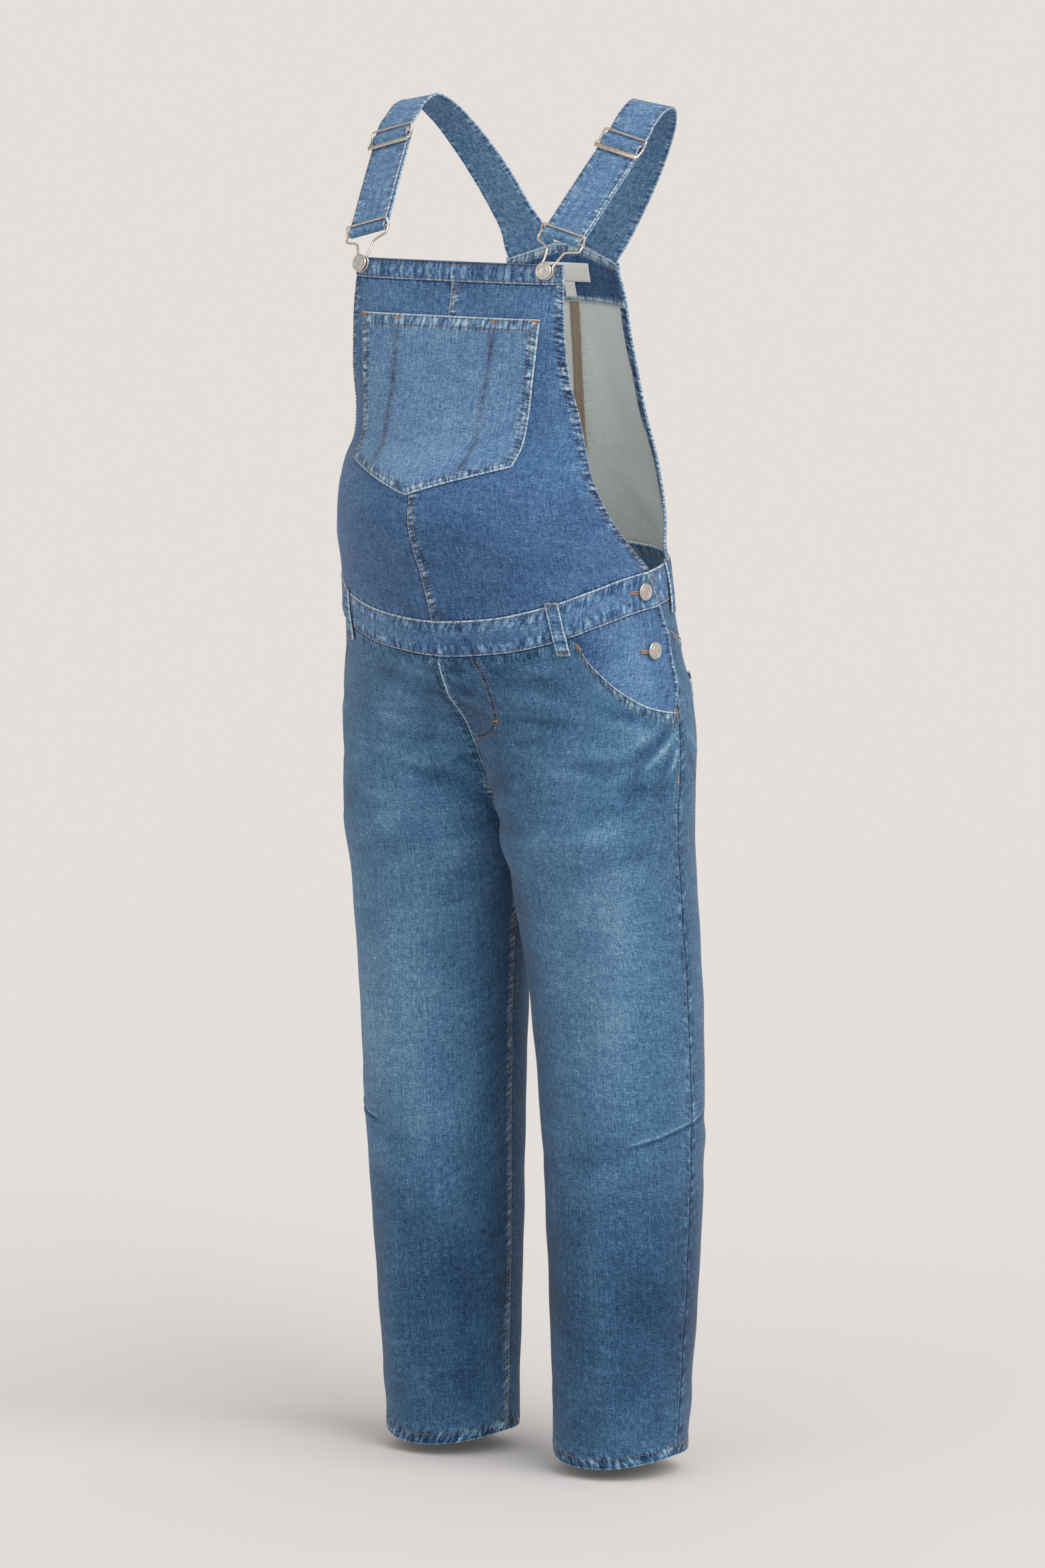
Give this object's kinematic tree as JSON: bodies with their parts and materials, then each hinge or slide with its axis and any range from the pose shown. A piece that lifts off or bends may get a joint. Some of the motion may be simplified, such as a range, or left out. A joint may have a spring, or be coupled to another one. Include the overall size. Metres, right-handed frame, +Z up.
{
  "type": "denim dungarees",
  "caption": "Filled-out denim dungarees with a bib, patch pockets, adjustable straps and side buttons.",
  "frame": {"origin": "midway between the two shoulder points of the straps, at the height at which they rest on the shoulders", "axes": "+Z up, -Y the wearer's front, +X the wearer's left"},
  "size_m": [0.3822, 0.3087, 1.3381],
  "materials": {
    "denim": "washed mid-blue twill, tan stitching",
    "denim_light": "lighter washed twill",
    "label": "matt woven tape, blank",
    "wire": "polished champagne plate",
    "button": "satin silver plate"
  },
  "bodies": {
    "root": {"bib_front_left": "denim", "bib_front_right": "denim", "bib_top_band": "denim", "bib_pocket": "denim_light", "back_bib_left": "denim", "back_bib_right": "denim", "back_facing": "denim", "label": "label", "label_tab": "label", "waistband_front": "denim", "waistband_back": "denim", "leg_front_left": "denim", "leg_front_right": "denim", "leg_back_left": "denim", "leg_back_right": "denim", "yoke_left": "denim", "yoke_right": "denim", "pocket_bearer_left": "denim", "pocket_bearer_right": "denim", "back_pocket_left": "denim_light", "back_pocket_right": "denim_light", "belt_loop_front_left": "denim", "belt_loop_front_right": "denim", "belt_loop_side_left": "denim", "belt_loop_side_right": "denim", "belt_loop_back": "denim", "strap_left": "denim", "strap_right": "denim", "slider_left": "wire", "slider_right": "wire", "buckle_left": "wire", "buckle_right": "wire", "bib_button_left": "button", "bib_button_right": "button", "side_button_upper_left": "button", "side_button_upper_right": "button", "side_button_lower_left": "button", "side_button_lower_right": "button"}
  },
  "joints": []
}
